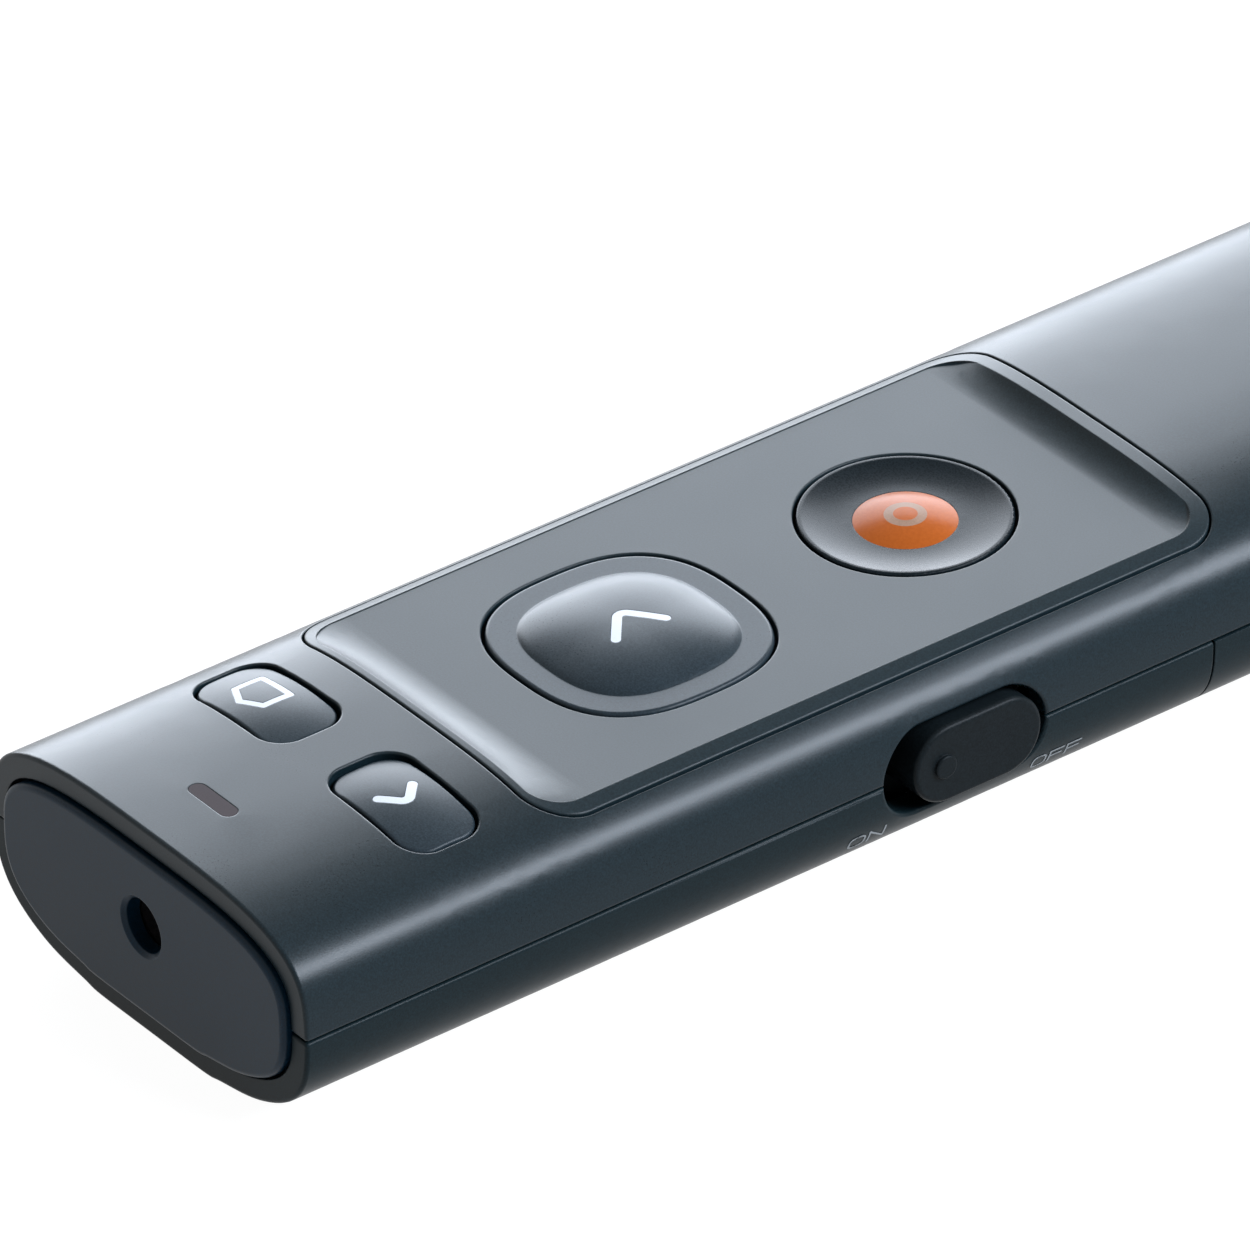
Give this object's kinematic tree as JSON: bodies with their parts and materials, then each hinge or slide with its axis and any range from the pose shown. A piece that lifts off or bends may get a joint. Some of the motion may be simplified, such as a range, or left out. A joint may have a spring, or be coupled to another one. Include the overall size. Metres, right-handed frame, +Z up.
{
  "type": "laser pointer",
  "caption": "Slim hand-held laser pointer and slide remote with press buttons, a side power slider, a sliding battery cover and a USB receiver stored in its tail.",
  "frame": {"origin": "on the flat that the body rests on, under the middle of its length and width", "axes": "+X across the body, towards the power slider; +Y along the body, from the laser end to the tail; +Z up, out of the buttons"},
  "size_m": [0.0307, 0.1295, 0.014],
  "materials": {
    "shell": "satin moulded plastic with a fine spark texture",
    "cap": "satin moulded plastic",
    "panel": "satin moulded plastic with a fine spark texture",
    "button": "satin moulded plastic",
    "orange": "satin moulded plastic",
    "legend": "second-shot moulded plastic, flush",
    "slider": "satin moulded plastic",
    "inner_plastic": "black moulded plastic",
    "white_nylon": "natural nylon",
    "grip": "black moulded plastic",
    "glass": "clear, polished",
    "light_guide": "smoked, translucent",
    "board": "green solder mask",
    "chip": "black epoxy",
    "ceramic": "fired ceramic with tinned ends",
    "brass": "turned",
    "steel": "stamped, bright",
    "nickel": "nickel plated",
    "gold": "gold plated",
    "cell": "plain printed sleeve"
  },
  "bodies": {
    "root": {"top_shell": "shell", "bottom_shell": "shell", "front_cap": "cap", "laser_window": "glass", "control_panel": "panel", "led_light_guide": "light_guide", "led_chip": "white_nylon", "laser_barrel": "brass", "laser_lens": "glass", "laser_diode": "steel", "laser_holder": "inner_plastic", "main_pcb": "board", "pcb_screws": "steel", "next_page_tact_switch": "steel", "laser_tact_switch": "steel", "home_tact_switch": "steel", "previous_page_tact_switch": "steel", "radio_chip": "chip", "crystal": "steel", "chip_capacitors": "ceramic", "power_switch": "steel", "battery_tray": "inner_plastic", "tray_screws": "steel", "case_screws": "steel", "aaa_cell": "cell", "positive_contact": "nickel", "negative_contact": "nickel"},
    "next_page_press": {"next_page_button": "button", "next_page_legend": "legend", "next_page_plunger": "inner_plastic"},
    "laser_press": {"laser_button": "button", "laser_button_dome": "orange", "laser_button_ring": "legend", "laser_plunger": "inner_plastic"},
    "home_press": {"home_button": "button", "home_legend": "legend", "home_plunger": "inner_plastic"},
    "previous_page_press": {"previous_page_button": "button", "previous_page_legend": "legend", "previous_page_plunger": "inner_plastic"},
    "power_switch_slider": {"power_slider": "slider", "switch_lever": "white_nylon"},
    "battery_cover_body": {"battery_cover": "shell"},
    "usb_receiver": {"receiver_grip": "grip", "receiver_shield": "nickel", "receiver_tongue": "white_nylon", "receiver_contacts": "gold"}
  },
  "joints": [
    {"name": "next_page_travel", "type": "slide", "parent": "root", "child": "next_page_press", "axis": [0, 0, -1], "range_m": [0, 0.0004], "stiffness_N_per_m": 3000},
    {"name": "laser_travel", "type": "slide", "parent": "root", "child": "laser_press", "axis": [0, 0, -1], "range_m": [0, 0.0004], "stiffness_N_per_m": 3000},
    {"name": "home_travel", "type": "slide", "parent": "root", "child": "home_press", "axis": [0, 0, -1], "range_m": [0, 0.0004], "stiffness_N_per_m": 3000},
    {"name": "previous_page_travel", "type": "slide", "parent": "root", "child": "previous_page_press", "axis": [0, 0, -1], "range_m": [0, 0.0004], "stiffness_N_per_m": 3000},
    {"name": "power_slide", "type": "slide", "parent": "root", "child": "power_switch_slider", "axis": [0, -1, 0], "range_m": [0, 0.0015]},
    {"name": "battery_cover_slide", "type": "slide", "parent": "root", "child": "battery_cover_body", "axis": [0, 1, 0], "range_m": [0, 0.06]},
    {"name": "receiver_slide", "type": "slide", "parent": "root", "child": "usb_receiver", "axis": [0, 1, 0], "range_m": [0, 0.022]}
  ]
}
